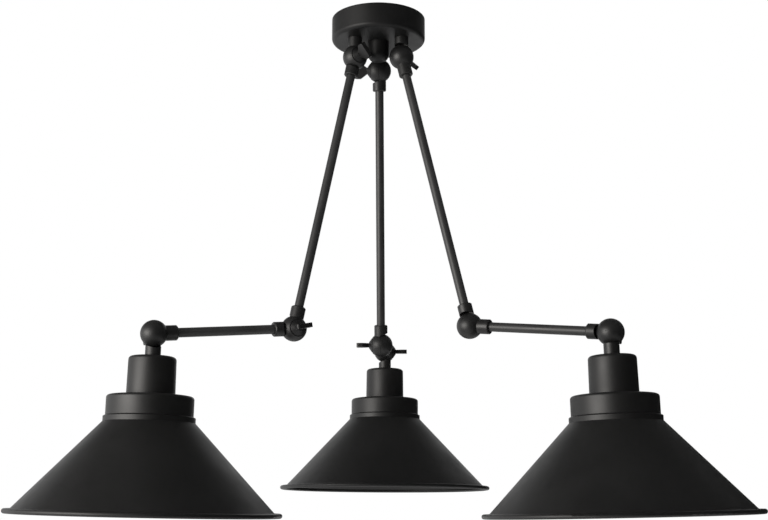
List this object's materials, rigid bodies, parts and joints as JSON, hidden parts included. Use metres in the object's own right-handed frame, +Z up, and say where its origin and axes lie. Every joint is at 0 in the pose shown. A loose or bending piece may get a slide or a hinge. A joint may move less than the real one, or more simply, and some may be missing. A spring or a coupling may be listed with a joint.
{
  "type": "ceiling light",
  "caption": "Black ceiling light whose jointed swing arms, clamped by wing screws at split-ball knuckles, each carry a conical metal shade.",
  "frame": {"origin": "centre of the canopy on the ceiling plane, midway between the two ceiling slots", "axes": "+Z up into the ceiling; +X to the right of the picture; +Y away from the viewer, along the rear arm"},
  "size_m": [0.8227, 0.7353, 0.6321],
  "materials": {
    "canopy_paint": "satin",
    "knuckle_paint": "satin",
    "screw_paint": "satin",
    "tube_paint": "satin",
    "cup_paint": "satin",
    "shade_paint": "satin",
    "zinc_steel": "satin",
    "terminal_plastic": "matte",
    "bakelite": "satin",
    "brass": "satin"
  },
  "bodies": {
    "root": {"canopy": "canopy_paint", "canopy_cap": "canopy_paint", "ceiling_bracket": "zinc_steel", "centre_stud": "zinc_steel", "nuts": "zinc_steel", "terminal_block": "terminal_plastic", "left_shoulder_socket": "knuckle_paint", "right_shoulder_socket": "knuckle_paint", "rear_shoulder_socket": "knuckle_paint"},
    "left_upper_arm": {"left_shoulder_ball": "knuckle_paint", "left_upper_tube": "tube_paint", "left_elbow_socket": "knuckle_paint"},
    "left_lower_arm": {"left_elbow_ball": "knuckle_paint", "left_lower_tube": "tube_paint", "left_lamp_ball": "knuckle_paint"},
    "left_lamp": {"left_lamp_neck": "knuckle_paint", "left_cup": "cup_paint", "left_lampholder": "bakelite", "left_screw_shell": "brass", "left_centre_contact": "brass", "left_shade_ring": "bakelite", "left_shade": "shade_paint"},
    "left_shoulder_screw": {"left_shoulder_screw": "screw_paint"},
    "left_elbow_screw": {"left_elbow_screw": "screw_paint"},
    "left_lamp_screw": {"left_lamp_screw": "screw_paint"},
    "right_upper_arm": {"right_shoulder_ball": "knuckle_paint", "right_upper_tube": "tube_paint", "right_elbow_socket": "knuckle_paint"},
    "right_lower_arm": {"right_elbow_ball": "knuckle_paint", "right_lower_tube": "tube_paint", "right_lamp_ball": "knuckle_paint"},
    "right_lamp": {"right_lamp_neck": "knuckle_paint", "right_cup": "cup_paint", "right_lampholder": "bakelite", "right_screw_shell": "brass", "right_centre_contact": "brass", "right_shade_ring": "bakelite", "right_shade": "shade_paint"},
    "right_shoulder_screw": {"right_shoulder_screw": "screw_paint"},
    "right_elbow_screw": {"right_elbow_screw": "screw_paint"},
    "right_lamp_screw": {"right_lamp_screw": "screw_paint"},
    "rear_upper_arm": {"rear_shoulder_ball": "knuckle_paint", "rear_upper_tube": "tube_paint", "rear_elbow_socket": "knuckle_paint"},
    "rear_lower_arm": {"rear_elbow_ball": "knuckle_paint", "rear_lower_tube": "tube_paint", "rear_lamp_ball": "knuckle_paint"},
    "rear_lamp": {"rear_lamp_neck": "knuckle_paint", "rear_cup": "cup_paint", "rear_lampholder": "bakelite", "rear_screw_shell": "brass", "rear_centre_contact": "brass", "rear_shade_ring": "bakelite", "rear_shade": "shade_paint"},
    "rear_shoulder_screw": {"rear_shoulder_screw": "screw_paint"},
    "rear_elbow_screw": {"rear_elbow_screw": "screw_paint"},
    "rear_lamp_screw": {"rear_lamp_screw": "screw_paint"}
  },
  "joints": [
    {"name": "left_shoulder", "type": "hinge", "parent": "root", "child": "left_upper_arm", "pos_m": [-0.02953, -0.01685, -0.0558], "axis": [-0.4955, 0.8686, 0], "range_deg": [-12, 50]},
    {"name": "left_elbow", "type": "hinge", "parent": "left_upper_arm", "child": "left_lower_arm", "pos_m": [-0.09947, -0.05674, -0.41017], "axis": [0.4955, -0.8686, 0], "range_deg": [-30, 60]},
    {"name": "left_lamp", "type": "hinge", "parent": "left_lower_arm", "child": "left_lamp", "pos_m": [-0.24989, -0.14253, -0.42715], "axis": [-0.4955, 0.8686, 0], "range_deg": [-15, 75]},
    {"name": "left_shoulder_screw_turn", "type": "hinge", "parent": "left_upper_arm", "child": "left_shoulder_screw", "pos_m": [-0.02953, -0.01685, -0.0558], "axis": [0.4955, -0.8686, 0], "range_deg": [0, 180]},
    {"name": "left_elbow_screw_turn", "type": "hinge", "parent": "left_lower_arm", "child": "left_elbow_screw", "pos_m": [-0.09947, -0.05674, -0.41017], "axis": [0.4955, -0.8686, 0], "range_deg": [0, 180]},
    {"name": "left_lamp_screw_turn", "type": "hinge", "parent": "left_lower_arm", "child": "left_lamp_screw", "pos_m": [-0.24989, -0.14253, -0.42715], "axis": [-0.4955, 0.8686, 0], "range_deg": [0, 180]},
    {"name": "right_shoulder", "type": "hinge", "parent": "root", "child": "right_upper_arm", "pos_m": [0.02979, -0.01638, -0.0558], "axis": [-0.4818, -0.8763, 0], "range_deg": [-12, 50]},
    {"name": "right_elbow", "type": "hinge", "parent": "right_upper_arm", "child": "right_lower_arm", "pos_m": [0.11007, -0.06051, -0.40747], "axis": [0.4818, 0.8763, 0], "range_deg": [-30, 60]},
    {"name": "right_lamp", "type": "hinge", "parent": "right_lower_arm", "child": "right_lamp", "pos_m": [0.26171, -0.14388, -0.42565], "axis": [-0.4818, -0.8763, 0], "range_deg": [-15, 75]},
    {"name": "right_shoulder_screw_turn", "type": "hinge", "parent": "right_upper_arm", "child": "right_shoulder_screw", "pos_m": [0.02979, -0.01638, -0.0558], "axis": [0.4818, 0.8763, 0], "range_deg": [0, 180]},
    {"name": "right_elbow_screw_turn", "type": "hinge", "parent": "right_lower_arm", "child": "right_elbow_screw", "pos_m": [0.11007, -0.06051, -0.40747], "axis": [0.4818, 0.8763, 0], "range_deg": [0, 180]},
    {"name": "right_lamp_screw_turn", "type": "hinge", "parent": "right_lamp", "child": "right_lamp_screw", "pos_m": [0.26171, -0.14388, -0.42565], "axis": [0.4818, 0.8763, 0], "range_deg": [0, 180]},
    {"name": "rear_shoulder", "type": "hinge", "parent": "root", "child": "rear_upper_arm", "pos_m": [0.00065, 0.03399, -0.0558], "axis": [0.9998, -0.0192, 0], "range_deg": [-12, 50]},
    {"name": "rear_elbow", "type": "hinge", "parent": "rear_upper_arm", "child": "rear_lower_arm", "pos_m": [0.00227, 0.11819, -0.40931], "axis": [-0.9998, 0.0192, 0], "range_deg": [-30, 60]},
    {"name": "rear_lamp", "type": "hinge", "parent": "rear_lower_arm", "child": "rear_lamp", "pos_m": [0.0056, 0.29182, -0.39838], "axis": [0.9998, -0.0192, 0], "range_deg": [-15, 75]},
    {"name": "rear_shoulder_screw_turn", "type": "hinge", "parent": "rear_upper_arm", "child": "rear_shoulder_screw", "pos_m": [0.00065, 0.03399, -0.0558], "axis": [-0.9998, 0.0192, 0], "range_deg": [0, 180]},
    {"name": "rear_elbow_screw_turn", "type": "hinge", "parent": "rear_lower_arm", "child": "rear_elbow_screw", "pos_m": [0.00227, 0.11819, -0.40931], "axis": [-0.9998, 0.0192, 0], "range_deg": [0, 180]},
    {"name": "rear_lamp_screw_turn", "type": "hinge", "parent": "rear_lower_arm", "child": "rear_lamp_screw", "pos_m": [0.0056, 0.29182, -0.39838], "axis": [0.9998, -0.0192, 0], "range_deg": [0, 180]}
  ]
}
